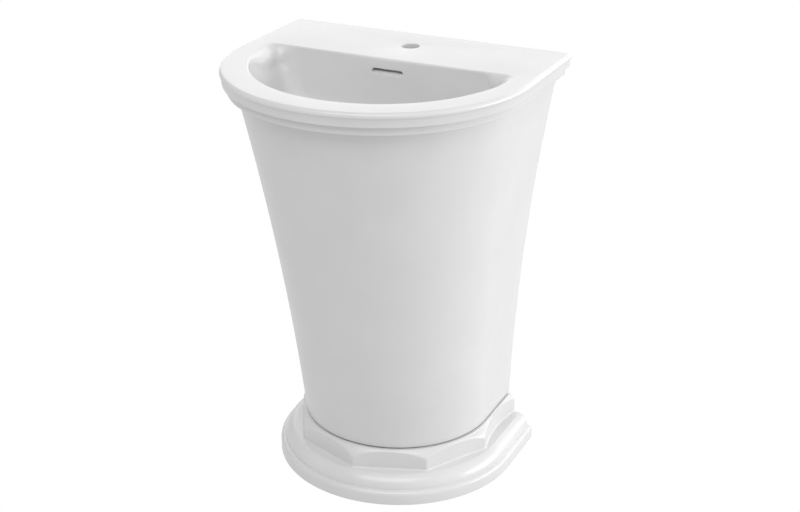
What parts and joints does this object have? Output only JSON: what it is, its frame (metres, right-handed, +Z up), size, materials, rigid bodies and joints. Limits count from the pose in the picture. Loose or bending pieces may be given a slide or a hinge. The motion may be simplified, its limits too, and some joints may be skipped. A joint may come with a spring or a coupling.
{
  "type": "pedestal sink",
  "caption": "D-shaped ceramic pedestal sink with a flared hollow column, moulded faceted plinth, pop-up waste and bottle trap.",
  "frame": {"origin": "centre of the bounding box on the floor, with the wall at +Y", "axes": "+Z up, +Y into the wall, +X along the wall to the right when facing it"},
  "size_m": [0.594, 0.5134, 0.85],
  "materials": {
    "glaze": "gloss",
    "joint_seal": "matte",
    "rubber": "matte",
    "chrome": "polished",
    "brass": "satin",
    "steel": "satin",
    "white_plastic": "satin"
  },
  "bodies": {
    "sink": {"basin": "glaze", "pedestal_column": "glaze", "pedestal_plinth": "glaze", "column_foot_seal": "joint_seal", "basin_seat_pad_left": "rubber", "basin_seat_pad_right": "rubber", "basin_seat_pad_front": "rubber", "waste_upper_seal": "rubber", "waste_lower_gasket": "rubber", "trap_inlet_washer": "rubber", "trap_top_washer": "rubber", "trap_cup_seal": "rubber", "trap_outlet_washer": "rubber", "waste_body": "chrome", "trap_inlet_nut": "chrome", "trap_inlet_tube": "chrome", "trap_top_nut": "chrome", "trap_body": "chrome", "trap_cup": "chrome", "trap_outlet_nut": "chrome", "trap_outlet_pipe": "chrome", "trap_wall_flange": "chrome", "waste_locknut": "brass", "plug_guide": "brass", "click_cartridge": "brass", "wall_bolt_left": "steel", "wall_bolt_right": "steel", "wall_washer_left": "steel", "wall_washer_right": "steel", "wall_nut_left": "steel", "wall_nut_right": "steel", "floor_screw_left": "steel", "floor_screw_right": "steel", "waste_friction_washer": "white_plastic", "wall_bush_left": "white_plastic", "wall_bush_right": "white_plastic", "floor_washer_left": "white_plastic", "floor_washer_right": "white_plastic", "floor_screw_cap_left": "white_plastic", "floor_screw_cap_right": "white_plastic"},
    "plug": {"plug_cap": "chrome", "plug_stem": "brass", "plug_seal": "rubber"}
  },
  "joints": [
    {"name": "plug_lift", "type": "slide", "parent": "sink", "child": "plug", "axis": [0, 0, 1], "range_m": [0, 0.009]}
  ]
}
